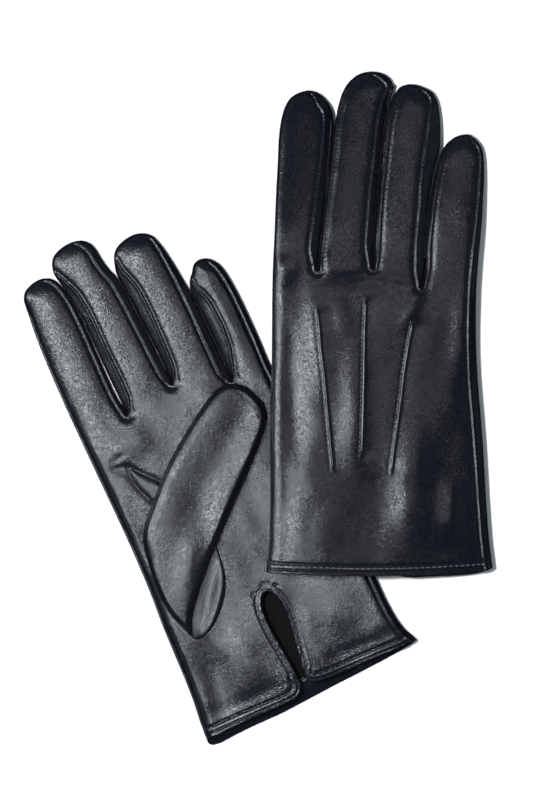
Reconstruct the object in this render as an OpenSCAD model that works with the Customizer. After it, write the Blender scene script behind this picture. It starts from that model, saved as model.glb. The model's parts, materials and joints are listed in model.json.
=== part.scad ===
// A pair of lined leather dress gloves laid flat: the left one palm up with its thumb folded
// across the palm, the right one back up and partly on top of it.
// Each glove is built in its own frame: X across the hand from the index finger's side to the
// little finger's, Y from the cuff to the fingertips, +Z towards the back of the hand.

/* [Hand] */
// Width of the cuff, measured flat
cuff_w = 112; // [104:1:118]
// Width across the knuckles, measured flat
knuckle_w = 99; // [94:1:102]
// Thickness of a glove lying empty
hand_t = 10.6; // [10:0.2:12]
// Length of the hand from the cuff to the knuckles
hand_len = 172; // [170:1:176]

/* [Leather and lining] */
// Thickness of the leather
leather_t = 1.0; // [0.8:0.1:1.2]
// Thickness of the knitted lining
lining_t = 0.7; // [0.5:0.1:0.8]
// Slack between leather and lining
slack = 0.1; // [0.05:0.05:0.15]

/* [Thumb] */
// Length of the thumb from its root to its tip
thumb_len = 126; // [118:1:128]
// Thickness of the folded thumb
thumb_t = 8.8; // [8.6:0.1:9]
// Direction of the folded thumb, turned from the hand's length towards the little finger
thumb_turn = 36; // [34:1:38]

/* [Cuff] */
// Depth of the turned hem round the cuff
hem_h = 3.4; // [3:0.1:4]
// Length of the wrist vent
vent_len = 53; // [48:1:56]
// Widest part of the wrist vent
vent_w = 10.6; // [9:0.2:12]
// Width of the binding round the vent
binding_w = 1.8; // [1.4:0.1:2.2]
// Distance from one hem stitch to the next
stitch_pitch = 5; // [4:0.5:8]

/* [Lay] */
// Turn of the left glove on the table
left_turn = 24; // [22:1:26]
// Sideways tilt of the right glove, which leans on the left one
right_roll = 8.5; // [8:0.5:9]
// Lengthways tilt of the right glove, fingertips down
right_pitch = 1.2; // [1:0.1:1.4]

/* [Hidden] */
$fn = 48;
eps = 0.05;
leather_colour = [0.13, 0.14, 0.16];
lining_colour = [0.06, 0.06, 0.07];
gap = 0.4;
// Each finger: knuckle point, tip point, half width, droop below the hand.
left_fingers = [
    [[-40.0, 165], [-42.4, 236.5], 11.8, 0],
    [[-15.2, 168], [-18.6, 247.0], 11.6, 0],
    [[10.2, 166], [9.2, 241.0], 11.8, 0],
    [[35.2, 161], [36.0, 214.5], 11.8, 0]];
right_fingers = [
    [[-39.8, 165], [-35.1, 235.5], 12.2, 14.5],
    [[-15.0, 168], [-6.6, 245.5], 11.6, 9.9],
    [[10.4, 166], [17.2, 239.0], 11.6, 7.8],
    [[35.2, 161], [41.7, 214.5], 11.8, 7.3]];
// Points of the slits between the fingers.
left_slits = [[-26.8, 157], [-1.0, 160], [24.2, 152]];
right_slits = [[-28.8, 150], [-3.2, 151], [22.4, 144]];
left_at = [26.7, -140.5, hand_t / 2];
right_at = [59.4, -83, 23.5];
thumb_root = [-42, 47];
// The thumb's outline: across, along and radius of each round in its own frame.
thumb_rounds = [[-3.6, 12, 12], [-17.5, 45, 18.5], [-5, thumb_len - 13, 13]];
lining_at = leather_t + slack;
inside_at = lining_at + lining_t;
half_t = hand_t / 2;
point_ends = [[[-32, 129], [-24.5, 50]], [[-9, 133], [-10.5, 57]], [[13.5, 123], [4, 49]]];
point_w = 1.0;
point_h = 0.6;
stitch = [2.4, 0.5, 0.35];

function between(a, b, t) = a + (b - a) * t;
function length_of(f) = norm(f[1] - f[0]) / cos(f[3]);
function turn_of(f) = atan2(f[1][0] - f[0][0], f[1][1] - f[0][1]);
// Half width of the hand at a height above the cuff.
function hand_half_w(y) = between(cuff_w, knuckle_w, y / hand_len) / 2;

// ---- shapes shared by both gloves ----

// A flat tube's cross-section: w wide and t thick, with round sides.
module flat_section(w, t) {
    square([w - t, t], center = true);
    for (side = [-1, 1]) translate([side * (w - t) / 2, 0]) circle(d = t);
}

// A finger-shaped solid from y = start to y = len, with its knuckle axis along X at the origin.
module stall(len, half_w, t, start) {
    intersection() {
        translate([0, start, 0]) rotate([-90, 0, 0])
            linear_extrude(len - start + 1) flat_section(2 * half_w, t);
        union() {
            translate([-half_w - 1, start - 1, -t])
                cube([2 * half_w + 2, len - half_w - start + 1, 2 * t]);
            translate([0, len - half_w, -t]) cylinder(r = half_w, h = 2 * t);
        }
    }
}

// Keeps a finger inside the round end that turns about its knuckle axis.
module knuckle_end(len, half_w) {
    intersection() {
        union() {
            translate([-half_w - 1, 0, -half_t - 1]) cube([2 * half_w + 2, len + 1, hand_t + 2]);
            rotate([0, 90, 0]) cylinder(r = half_t, h = 2 * half_w + 2, center = true);
        }
        children();
    }
}

// The skin of a finger between two depths under its outer surface.
module finger_skin(f, outer, inner) {
    len = length_of(f);
    knuckle_end(len, f[2]) difference() {
        stall(len - outer, f[2] - outer, hand_t - 2 * outer, -half_t);
        stall(len - inner, f[2] - inner, hand_t - 2 * inner, -half_t - 2);
    }
}

// The window in a finger's side wall that a fourchette fills. play widens it.
module fourchette_window(f, side, play) {
    window_h = 6.4 + 2 * play;
    y0 = 2 - play;
    y1 = length_of(f) - 14 + play;
    translate([side > 0 ? f[2] - half_t : -f[2] - 1, y0, -window_h / 2])
        cube([half_t + 1, y1 - y0, window_h]);
}

// Puts a finger on its knuckle, in the hand's frame.
module at_knuckle(f) {
    translate([f[0][0], f[0][1], 0]) rotate([-f[3], 0, -turn_of(f)]) children();
}

module finger_leather(f, sides) {
    color(leather_colour) at_knuckle(f) difference() {
        finger_skin(f, 0, leather_t);
        for (side = sides) fourchette_window(f, side, 0);
    }
}

module finger_lining(f) {
    color(lining_colour) at_knuckle(f) finger_skin(f, lining_at, inside_at);
}

module fourchette(f, side) {
    color(leather_colour) at_knuckle(f) intersection() {
        finger_skin(f, 0, leather_t);
        fourchette_window(f, side, -eps);
    }
}

// ---- the hand ----

// The hand as a flat pillow with round sides, shrunk by depth all round, open at both ends.
module hand_pillow(depth, y0, y1) {
    r = half_t - depth;
    hull() for (side = [-1, 1]) for (y = [y0, y1])
        translate([side * (hand_half_w(y) - half_t), y, 0]) rotate([-90, 0, 0])
            cylinder(r = r, h = 0.01, $fn = 24);
}

// The wrist vent's outline, grown by the given amount.
module vent_outline(grow) {
    r = vent_w / 2 + grow;
    top = vent_len - vent_w / 2;
    translate([-0.5, top]) circle(r = r);
    polygon([[-0.5 - r, top], [-0.5 + r, top], [-2.2 + grow, -2], [-5 - grow, -2]]);
}

// Cuts a plan shape through the palm's wall only.
module through_palm() {
    translate([0, 0, -hand_t]) linear_extrude(hand_t) children();
}

// The thumb hole in the palm, and the mouth under the thumb that faces it.
module thumb_mouth_outline(shrink) {
    translate([-33, 72]) circle(r = 11 - shrink);
    translate([-44 + shrink, 72]) square([22 - 2 * shrink, 28]);
    translate([-33, 100]) circle(r = 11 - shrink);
}

// Room that the fingers' round ends turn in, and the slits between the fingers.
module knuckle_room(fingers, slits) {
    reach = half_t + gap;
    for (f = fingers) translate([f[0][0], f[0][1], -hand_t]) rotate([0, 0, -turn_of(f)])
        translate([-f[2] - 3, -reach, 0]) cube([2 * f[2] + 6, 60, 2 * hand_t]);
    // The two outer fingers' room runs on past the hand's edge.
    for (f = [fingers[0], fingers[3]]) translate([f[0][0] + 10 * sign(f[0][0]), f[0][1], -hand_t])
        rotate([0, 0, -turn_of(f)]) translate([-f[2], -reach, 0])
            cube([2 * f[2], 60, 2 * hand_t]);
    for (s = slits) translate([s[0], s[1], -hand_t]) linear_extrude(2 * hand_t)
        polygon([[0, 0], [-1.4, 30], [1.4, 30]]);
}

module points_grooves(play) {
    for (p = point_ends) {
        along = p[0] - p[1];
        translate([p[1][0], p[1][1], half_t - point_h])
            rotate([0, 0, -atan2(along[0], along[1])])
                translate([-point_w / 2 - play, -play, -play])
                    cube([point_w + 2 * play, norm(along) + 2 * play, point_h + 2 * play]);
    }
}

module hand_leather(fingers, slits) {
    color(leather_colour) difference() {
        hand_pillow(0, hem_h + eps, hand_len);
        hand_pillow(leather_t, -1, hand_len + 1);
        knuckle_room(fingers, slits);
        through_palm() vent_outline(binding_w + eps);
        through_palm() thumb_mouth_outline(0);
        through_palm() quirk_outline(eps);
        points_grooves(eps);
    }
}

module hand_lining(fingers, slits) {
    color(lining_colour) difference() {
        hand_pillow(lining_at, hem_h + eps, hand_len);
        hand_pillow(inside_at, -1, hand_len + 1);
        knuckle_room(fingers, slits);
        through_palm() vent_outline(binding_w + eps);
        through_palm() thumb_mouth_outline(0);
    }
}

// Leaf-shaped gusset let into the palm above the thumb.
module quirk_outline(play) {
    polygon([[-37 - play, 134 + play], [-29 + play, 122], [-29, 116 - play], [-38 - play, 114 - play]]);
}

module thumb_quirk() {
    color(leather_colour) intersection() {
        difference() {
            hand_pillow(0, 110, 140);
            hand_pillow(leather_t, 109, 141);
        }
        through_palm() quirk_outline(0);
    }
}

module cuff_hem() {
    color(leather_colour) difference() {
        hand_pillow(0, 0, hem_h);
        hand_pillow(inside_at, -1, hem_h + 1);
        through_palm() vent_outline(binding_w + eps);
        for (z = [-1, 1]) hem_stitch_row(z, eps);
    }
}

module vent_binding() {
    color(leather_colour) intersection() {
        difference() {
            hand_pillow(0, 0, 70);
            hand_pillow(inside_at, -1, 71);
        }
        through_palm() difference() {
            vent_outline(binding_w);
            vent_outline(0);
        }
    }
}

module back_points() {
    color(leather_colour) points_grooves(0);
}

// One row of stitches in the hem, on the back for z = 1 and on the palm for z = -1.
module hem_stitch_row(z, play) {
    span = cuff_w - hand_t - 6;
    n = floor(span / stitch_pitch);
    for (i = [0:n]) {
        x = -span / 2 + i * span / n;
        if (z > 0 || abs(x + 3.6) > 7)
            translate([x, hem_h / 2, z * (half_t - stitch[2] / 2)])
                cube(stitch + 2 * play * [1, 1, 1], center = true);
    }
}

module hem_stitches() {
    color(lining_colour) for (z = [-1, 1]) hem_stitch_row(z, 0);
}

// ---- the thumb ----

// A round cushion of radius r and thickness t.
module cushion(r, t) {
    rotate_extrude($fn = 28) intersection() {
        union() {
            translate([0, -t / 2]) square([r - t / 2, t]);
            translate([r - t / 2, 0]) circle(d = t, $fn = 12);
        }
        translate([0, -t]) square([r + 1, 2 * t]);
    }
}

// The thumb's solid in its own frame, lying along Y from the root, shrunk by depth.
module thumb_solid(depth) {
    t = thumb_t - 2 * depth;
    hull() for (c = thumb_rounds) translate([c[0], c[1], 0]) cushion(c[2] - depth, t);
}

module in_thumb_frame() {
    translate([thumb_root[0], thumb_root[1], -half_t - gap - thumb_t / 2])
        rotate([0, 0, -thumb_turn]) children();
}

// The part of the thumb's wall that faces the thumb hole.
module thumb_mouth_cut() {
    translate([0, 0, -half_t - gap - thumb_t / 2]) linear_extrude(thumb_t)
        thumb_mouth_outline(2);
}

module thumb_leather() {
    color(leather_colour) difference() {
        in_thumb_frame() thumb_solid(0);
        in_thumb_frame() thumb_solid(leather_t);
        thumb_mouth_cut();
    }
}

module thumb_lining() {
    color(lining_colour) difference() {
        in_thumb_frame() thumb_solid(lining_at);
        in_thumb_frame() thumb_solid(inside_at);
        thumb_mouth_cut();
    }
}

// ---- the two gloves ----

// The left glove lies palm up, so its frame is mirrored in Z.
module left_glove() {
    translate(left_at) rotate([0, 0, left_turn]) mirror([0, 0, 1]) children();
}

module right_glove() {
    translate(right_at) rotate([-right_pitch, right_roll, 0]) children();
}

module left_hand_leather() left_glove() hand_leather(left_fingers, left_slits);
module left_index_leather() left_glove() finger_leather(left_fingers[0], [1]);
module left_middle_leather() left_glove() finger_leather(left_fingers[1], [-1, 1]);
module left_ring_leather() left_glove() finger_leather(left_fingers[2], [-1, 1]);
module left_little_leather() left_glove() finger_leather(left_fingers[3], [-1]);
module left_index_fourchette() left_glove() fourchette(left_fingers[0], 1);
module left_middle_fourchette_a() left_glove() fourchette(left_fingers[1], -1);
module left_middle_fourchette_b() left_glove() fourchette(left_fingers[1], 1);
module left_ring_fourchette_a() left_glove() fourchette(left_fingers[2], -1);
module left_ring_fourchette_b() left_glove() fourchette(left_fingers[2], 1);
module left_little_fourchette() left_glove() fourchette(left_fingers[3], -1);
module left_thumb_leather() left_glove() thumb_leather();
module left_thumb_quirk() left_glove() thumb_quirk();
module left_hand_lining() left_glove() hand_lining(left_fingers, left_slits);
module left_index_lining() left_glove() finger_lining(left_fingers[0]);
module left_middle_lining() left_glove() finger_lining(left_fingers[1]);
module left_ring_lining() left_glove() finger_lining(left_fingers[2]);
module left_little_lining() left_glove() finger_lining(left_fingers[3]);
module left_thumb_lining() left_glove() thumb_lining();
module left_cuff_hem() left_glove() cuff_hem();
module left_vent_binding() left_glove() vent_binding();
module left_back_points() left_glove() back_points();
module left_hem_stitches() left_glove() hem_stitches();

module right_hand_leather() right_glove() hand_leather(right_fingers, right_slits);
module right_index_leather() right_glove() finger_leather(right_fingers[0], [1]);
module right_middle_leather() right_glove() finger_leather(right_fingers[1], [-1, 1]);
module right_ring_leather() right_glove() finger_leather(right_fingers[2], [-1, 1]);
module right_little_leather() right_glove() finger_leather(right_fingers[3], [-1]);
module right_index_fourchette() right_glove() fourchette(right_fingers[0], 1);
module right_middle_fourchette_a() right_glove() fourchette(right_fingers[1], -1);
module right_middle_fourchette_b() right_glove() fourchette(right_fingers[1], 1);
module right_ring_fourchette_a() right_glove() fourchette(right_fingers[2], -1);
module right_ring_fourchette_b() right_glove() fourchette(right_fingers[2], 1);
module right_little_fourchette() right_glove() fourchette(right_fingers[3], -1);
module right_thumb_leather() right_glove() thumb_leather();
module right_thumb_quirk() right_glove() thumb_quirk();
module right_hand_lining() right_glove() hand_lining(right_fingers, right_slits);
module right_index_lining() right_glove() finger_lining(right_fingers[0]);
module right_middle_lining() right_glove() finger_lining(right_fingers[1]);
module right_ring_lining() right_glove() finger_lining(right_fingers[2]);
module right_little_lining() right_glove() finger_lining(right_fingers[3]);
module right_thumb_lining() right_glove() thumb_lining();
module right_cuff_hem() right_glove() cuff_hem();
module right_vent_binding() right_glove() vent_binding();
module right_back_points() right_glove() back_points();
module right_hem_stitches() right_glove() hem_stitches();

left_hand_leather();
left_index_leather();
left_middle_leather();
left_ring_leather();
left_little_leather();
left_index_fourchette();
left_middle_fourchette_a();
left_middle_fourchette_b();
left_ring_fourchette_a();
left_ring_fourchette_b();
left_little_fourchette();
left_thumb_leather();
left_thumb_quirk();
left_hand_lining();
left_index_lining();
left_middle_lining();
left_ring_lining();
left_little_lining();
left_thumb_lining();
left_cuff_hem();
left_vent_binding();
left_back_points();
left_hem_stitches();
right_hand_leather();
right_index_leather();
right_middle_leather();
right_ring_leather();
right_little_leather();
right_index_fourchette();
right_middle_fourchette_a();
right_middle_fourchette_b();
right_ring_fourchette_a();
right_ring_fourchette_b();
right_little_fourchette();
right_thumb_leather();
right_thumb_quirk();
right_hand_lining();
right_index_lining();
right_middle_lining();
right_ring_lining();
right_little_lining();
right_thumb_lining();
right_cuff_hem();
right_vent_binding();
right_back_points();
right_hem_stitches();
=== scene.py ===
import json
import math

import bpy
import numpy as np
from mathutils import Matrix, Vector, geometry, kdtree, noise


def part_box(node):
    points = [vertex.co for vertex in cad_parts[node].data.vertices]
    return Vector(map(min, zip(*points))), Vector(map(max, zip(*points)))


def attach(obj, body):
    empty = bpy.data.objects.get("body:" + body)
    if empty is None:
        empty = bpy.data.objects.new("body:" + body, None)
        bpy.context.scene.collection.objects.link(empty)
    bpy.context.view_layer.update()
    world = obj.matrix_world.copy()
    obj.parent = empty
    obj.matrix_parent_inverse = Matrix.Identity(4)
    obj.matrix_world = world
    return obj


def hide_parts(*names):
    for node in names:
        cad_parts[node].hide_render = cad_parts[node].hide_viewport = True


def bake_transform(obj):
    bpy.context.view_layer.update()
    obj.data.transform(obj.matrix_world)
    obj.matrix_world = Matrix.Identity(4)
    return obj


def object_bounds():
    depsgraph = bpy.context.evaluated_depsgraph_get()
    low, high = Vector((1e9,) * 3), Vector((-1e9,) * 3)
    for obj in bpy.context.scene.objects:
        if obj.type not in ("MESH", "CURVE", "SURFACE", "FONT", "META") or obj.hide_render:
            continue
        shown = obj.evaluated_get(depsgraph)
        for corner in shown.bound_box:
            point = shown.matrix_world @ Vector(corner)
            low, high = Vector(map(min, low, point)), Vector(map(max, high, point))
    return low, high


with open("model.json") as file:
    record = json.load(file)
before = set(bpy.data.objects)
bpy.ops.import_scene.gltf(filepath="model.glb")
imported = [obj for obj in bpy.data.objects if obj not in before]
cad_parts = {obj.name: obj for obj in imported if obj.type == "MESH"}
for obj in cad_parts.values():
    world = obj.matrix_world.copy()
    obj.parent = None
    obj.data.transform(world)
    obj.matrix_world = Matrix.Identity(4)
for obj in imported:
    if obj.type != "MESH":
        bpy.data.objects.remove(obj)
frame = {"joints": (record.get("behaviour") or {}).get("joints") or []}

CAD_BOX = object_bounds()

# A pair of leather gloves. Each glove is a closed shell of leather, drawn in its own plan frame in
# millimetres: x runs from the index finger's side to the little finger's, y from the cuff to the
# fingertips. The left glove lies palm up with its thumb across the palm, the right one back up.

MM = 0.001
JOINTS = {j["name"]: j for j in frame["joints"]}
THUMB_HINGE = np.array([-50.5, 70.0])     # the thumb's fold at the hand's index side
THUMB_BEND = 15.5                          # a point this far along from the thumb's fold is worked out, but not used
THUMB_GAP = 0.4                            # between the palm and the folded thumb
HAND_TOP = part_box("left_hand_leather")[1].z / MM
HALF = HAND_TOP / 2                        # half the thickness of a glove lying empty
THUMB_T = (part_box("left_thumb_leather")[1].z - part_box("left_hand_leather")[1].z) / MM - THUMB_GAP
HEM = 3.4                                  # depth of the turned hem
POINT_SEAM = 1.35                          # from a raised point to its stitches
BINDING_W = 1.5                            # width of the vent's binding
ROLL = 0.5                                 # radius of a turned edge
UNDERSIDE = 0.75                           # the left glove's skin above the floor, for its threads
LEAN = 0.02                                # a glove's upper side slopes this much across its width
LINING_IN = 1.25                           # the lining's depth under the leather's outside
LINING_FROM = 5.5                          # the lining starts this far inside the cuff's edge
LINING_COARSE = 2.6                        # the lining's mesh is this much coarser than the skin's
GRID, LINING_GRID = 1.15, 3.0              # spacing of inner points; the second in the thumb only
SPLIT_Y = {"left": 167.0, "right": 151.0}  # the fingers' pieces start here
KNUCKLE_Y = {"left": (168.5, 184.0), "right": (152.0, 178.0)}   # a finger's knuckle spans these; points there are worked out but not used
KNUCKLE_X = (-40, -15, 10, 35)             # the middle of each finger at its knuckle

# ---- outlines: each finger's left side, tip and right side ----

RIGHT_FINGERS = {
    "index": (
        [(-56.8, 3), (-55.6, 10), (-55, 20), (-54.6, 40), (-54.6, 60), (-54.6, 80), (-54, 100),
         (-53.8, 120), (-53.6, 140), (-53.4, 148), (-52.6, 165), (-51.8, 185), (-51, 200),
         (-50.3, 214), (-48.9, 223), (-46.9, 229)],
        [(-44.5, 232.5), (-40, 235.2), (-35.5, 236), (-31, 234.6)],
        [(-31.6, 148.5), (-30.5, 160), (-29.2, 170), (-27.8, 180), (-26.4, 192), (-25.1, 203),
         (-24, 214), (-23.7, 221), (-24.6, 227), (-27.8, 232)]),
    "middle": (
        [(-31.6, 148.5), (-30.3, 160), (-29, 170), (-27.6, 180), (-26.2, 192), (-24.9, 203),
         (-23.8, 214), (-22.6, 222), (-20.7, 231), (-18, 237.5)],
        [(-15, 241.3), (-11, 244.2), (-6, 245.3), (-1.5, 244.9)],
        [(-4.6, 149.5), (-4.4, 160), (-4, 170), (-3.3, 180), (-2.4, 190), (-1.3, 200), (0, 212),
         (1.4, 222), (2.9, 228.5), (4.7, 233.6), (5.6, 237.4), (4.6, 240.9), (2, 243.5)]),
    "ring": (
        [(-4.6, 149.5), (-4.1, 160), (-3.6, 170), (-2.9, 180), (-2, 190), (-0.9, 200), (0.4, 212),
         (1.8, 222.5), (4, 230), (7, 235.6)],
        [(9, 237.8), (12.5, 239), (17, 238.6), (21, 237.2)],
        [(19.2, 140), (20.3, 150), (20.6, 160), (21.5, 170), (22.6, 180), (24, 190), (26, 199),
         (27.9, 206), (28.5, 214), (28.3, 223), (27.2, 230.5), (24.5, 235.2)]),
    "little": (
        [(19.2, 140), (20.7, 150), (21, 160), (21.9, 170), (23, 180), (24.7, 190), (26.8, 199.5),
         (28.6, 205), (30.6, 208.8)],
        [(33.5, 211.8), (37.5, 214), (41, 214.6), (44.5, 213.2)],
        [(54, 3), (53.3, 8), (52.3, 16), (51.3, 28), (50.4, 42), (49.5, 58), (48.3, 75), (47, 90),
         (46.2, 103), (45.7, 118), (45.7, 130), (45.9, 140), (47, 155), (48, 165), (48.9, 176),
         (49.6, 188), (49.9, 198), (49.6, 204), (48.8, 207.8), (47.3, 210.4)])}

LEFT_FINGERS = {
    "index": (
        [(-58, 0), (-57.8, 5), (-57.2, 12), (-56.4, 20), (-55.8, 32), (-55.5, 46), (-55.1, 60),
         (-54.2, 75), (-53.8, 90), (-53.7, 105), (-54, 120), (-54.4, 140), (-54.8, 161),
         (-55, 180), (-54.8, 200), (-54.2, 214), (-53.2, 225), (-52.2, 233)],
        [(-50, 236), (-46, 238), (-41, 238.6), (-37.5, 237.6)],
        [(-28.9, 161.5), (-30.2, 170), (-30.5, 180), (-30.5, 192), (-30.4, 205), (-30.6, 216),
         (-31.4, 225), (-33, 231.5), (-35.2, 235.8)]),
    "middle": (
        [(-28.9, 161.5), (-29.3, 170), (-29.6, 180), (-29.8, 192), (-29.8, 205), (-30.1, 216),
         (-31, 225), (-32.6, 232), (-33.7, 238), (-32.6, 243)],
        [(-30.5, 246), (-26, 248.1), (-20, 248.9), (-15, 247.8)],
        [(-2.6, 166.5), (-3.2, 176), (-3.7, 186), (-4.3, 197), (-4.9, 208), (-5.6, 217),
         (-6.6, 224.5), (-8.4, 230), (-9.6, 236), (-10.3, 241.5), (-11.8, 245)]),
    "ring": (
        [(-2.6, 166.5), (-2.6, 176), (-3.1, 186), (-3.8, 197), (-4.4, 208), (-5.1, 217),
         (-5.8, 225), (-4.6, 231), (-2.6, 235.4)],
        [(0.5, 238), (5, 239.5), (10, 239.9), (14.5, 238.5)],
        [(24.6, 156), (24.5, 165), (24.4, 175), (24.2, 185), (23.9, 195), (23.3, 205),
         (22.4, 214), (21.2, 223), (19.8, 230), (17.8, 235.5)]),
    "little": (
        [(24.6, 156), (25, 165), (24.9, 175), (24.7, 185), (24.4, 195), (24, 204), (26, 208.8),
         (28.4, 211.6)],
        [(30.6, 214.6), (34, 215.8), (38, 214.6)],
        [(55.6, 3), (54, 6.5), (52.3, 10), (50.9, 16), (50, 24), (49.7, 34), (49.6, 46),
         (49.2, 70), (48, 95), (46.6, 120), (45.3, 140), (44.6, 156), (44.9, 168), (44.9, 180),
         (44.7, 190), (44, 200), (43, 206.5), (41.3, 211)])}

# The cuff's two edges, from the index finger's side to the little finger's.
RIGHT_BACK_HEM = [(-56.8, 3), (-56, 1.8), (-50, 1.5), (-40, 1), (-30, 0.6), (-20, 0.2), (-8, 0),
                  (5, 0), (18, 0.2), (30, 0.7), (42, 1.3), (50, 1.9), (54, 3)]
VENT = [(-4.9, 12), (-5.3, 18), (-6.0, 24), (-6.6, 30), (-7.2, 36), (-7.4, 42), (-7.1, 47),
        (-6.0, 51), (-4.4, 53.4), (-2.3, 54.5), (-0.2, 53.4), (1.4, 51), (2.5, 47), (2.8, 42),
        (2.4, 36), (1.6, 30), (0.6, 24), (-0.5, 18), (-1.4, 12)]
RIGHT_PALM_HEM = [
    (-56.8, 3), (-50, 2.5), (-30, 2.6), (-12, 2.8), (-8.4, 3.4), (-5.8, 5.4), (-4.8, 8.4), *VENT,
    (-1.7, 8.6), (-0.7, 5.6), (2, 2.5), (8, 0), (12, -0.9), (20, -0.9), (30, -0.4), (37, 0),
    (45, 0.6), (50, 1.6), (54, 3)]
LEFT_PALM_HEM = [
    (-58, 0), (-53, 0.6), (-45, 1), (-35, 0.9), (-25, 0.7), (-15, 0.6), (-10, 0.9), (-7.4, 2.2),
    (-5.6, 4.5), (-4.7, 8), *VENT, (-1.7, 8.5), (-0.7, 6.2), (1.5, 4.6), (5, 3.7), (12, 3.3),
    (22, 3.3), (35, 3), (48, 2.6), (55.6, 3)]
LEFT_BACK_HEM = [(-58, 0), (-57.4, -2.6), (-54, -3.9), (-45, -3.5), (-35, -3.1), (-20, -3),
                 (-10, -2.4), (0, -1.7), (12, -0.9), (25, -0.2), (40, 0.8), (50, 1.8), (55.6, 3)]

# How far each seam runs inside the outline: (y, inset) along each side of a finger.
PLAIN = [(0, 2.0)]
NO_SEAM = [(0, 0.0)]
RIGHT_BACK_SEAMS = {
    "index": (NO_SEAM, [(148.5, 1.6), (157, 4.3), (232, 4.3)]),
    "middle": ([(148.5, 1.6), (156, 0.9), (237, 0.9)],
               [(149.5, 1.6), (159, 3.4), (177, 3.0), (196, 2.8), (245, 2.8)]),
    "ring": ([(149.5, 1.6), (156, 2.3), (235, 2.3)],
             [(140, 1.6), (148, 4), (178, 4), (192, 5), (206, 6.8), (221, 5.2), (235, 2)]),
    "little": ([(140, 1.6), (146, 2.1), (209, 2.1)],
               [(10, 3.6), (40, 3.6), (60, 3.9), (100, 4), (120, 3.7), (135, 3.3), (150, 3),
                (175, 2.3), (210, 1.1)])}
LEFT_PALM_SEAMS = {
    "index": ([(0, 1.0), (225, 1.0), (233, 0)], [(161.5, 1.6), (168, 1.5), (235, 1.5)]),
    "middle": ([(161.5, 1.6), (168, 4.2), (178, 4.6), (194, 4.2), (210, 4.2), (224, 3.8),
                (234, 2), (241, 0)], [(166.5, 1.6), (172, 3), (245, 3)]),
    "ring": ([(166.5, 1.6), (172, 3.4), (184, 4.4), (201, 5.6), (214, 5.8), (224, 4),
              (231, 1.6), (235, 0)],
             [(156, 1.6), (161, 3.9), (180, 3.8), (204, 3.2), (223, 2.2), (235, 1)]),
    "little": ([(156, 1.6), (163, 3), (170, 5.2), (181, 6.2), (194, 5.8), (203, 3.4), (210, 0)],
               [(0, 2.6), (60, 2.0)])}
HIDDEN_SEAMS = {
    "index": (NO_SEAM, PLAIN), "middle": (PLAIN, PLAIN), "ring": (PLAIN, PLAIN),
    "little": (PLAIN, NO_SEAM)}

# The three raised points on the back.
BACK_POINTS = [
    [(-24, 50), (-25.3, 62), (-26.8, 78), (-28.3, 95), (-30, 108), (-31, 120), (-32, 129)],
    [(-10.4, 57), (-9.7, 78), (-9.2, 100), (-8.8, 120), (-8.2, 134)],
    [(4, 49), (5.3, 60), (7, 72), (8.8, 85), (10.5, 99), (12.6, 112), (14.8, 123)]]

# Soft folds: start, end, half width and height (+ is a ridge).
RIGHT_BACK_FOLDS = [
    ((-32, 149), (-4, 149), 6.5, 1.1), ((-52, 137), (6, 137), 5.0, -0.5),
    ((-22, 144), (-6, 146.5), 1.1, -0.3), ((-18, 142), (2, 144), 1.0, -0.25),
    ((-6, 143), (12, 140), 1.1, -0.3), ((0, 146.5), (14, 143), 1.0, -0.25),
    ((-52, 151), (-42, 147), 5.0, 1.0), ((19, 141), (10, 121), 3.4, 1.0),
    ((24, 135), (17, 115), 4.0, -0.2), ((-33, 138), (-27, 88), 5.5, 1.3),
    ((-44, 112), (-42, 58), 5.0, -1.1), ((-22, 136), (-19, 116), 4.5, 0.8),
    ((-13, 114), (-12.5, 60), 7.0, 2.0), ((14, 66), (15, 16), 9.5, 2.5),
    ((34, 43), (33, 18), 6.0, 2.2), ((40, 134), (38, 96), 6.5, 2.4),
    ((-51, 134), (-53, 8), 4.0, 1.0), ((26, 100), (25, 62), 8.0, -0.6),
    ((-42, 38), (-40, 8), 6.0, 0.4), ((-2, 56), (-3, 8), 9.0, -0.7)]
LEFT_PALM_FOLDS = [
    ((-47, 139), (-38, 137.5), 1.6, -0.6), ((-46, 142), (-37, 144), 1.2, -0.4),
    ((-45, 135.5), (-40, 135), 0.9, -0.4), ((-38, 110), (-49, 88), 5.5, -1.0),
    ((-44, 146), (-24, 148), 7, 0.8), ((4, 156), (26, 146), 6, 0.7),
    ((22, 112), (34, 60), 11, 1.0), ((-38, 42), (-45, 8), 6, -1.3), ((-26, 40), (-24, 16), 8, 0.8),
    ((22, 54), (28, 24), 10, 1.1), ((8, 50), (4, 14), 4, -0.7), ((8, 11), (50, 11), 4, -0.6),
    ((-52, 9), (-12, 9), 4, -0.5), ((-46, 120), (-48, 96), 4, -0.6),
    ((50, 58), (48, -6), 24, 3.6),
    ((-10, 52), (-8, -4), 20, 1.8)]
NO_FOLDS = []

# The thumb, folded flat across the palm.
THUMB_OUTLINE = [
    (-44, 49), (-46.5, 55), (-49, 62), (-50.2, 70), (-50.2, 77), (-49.5, 86), (-48.3, 95),
    (-46.5, 102), (-43, 108), (-38, 113.5), (-32, 119.5), (-24, 127.5), (-15, 134.8), (-5, 142),
    (5, 148.5), (12, 152.5), (18, 154.6), (24, 153.8), (29, 150), (32, 144.5), (33.8, 138),
    (33, 133), (30, 128), (24, 121.5), (14, 112), (4, 103), (-6, 94), (-16, 84.5), (-24, 76.5),
    (-31, 69), (-37, 62), (-41, 56), (-43, 51)]
THUMB_FOOT = (-44, 47)
THUMB_TURN = 36       # degrees from the glove's length to the thumb's
GUSSET = [(-15.4, 85), (-15.6, 78), (-16.6, 71), (-19.2, 64), (-23.4, 57.8), (-28.6, 52.3),
          (-34, 48.4), (-39, 46.4), (-43.5, 47.5), (-44.4, 56), (-39, 64), (-32, 72), (-24, 80),
          (-18, 85.5)]
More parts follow.
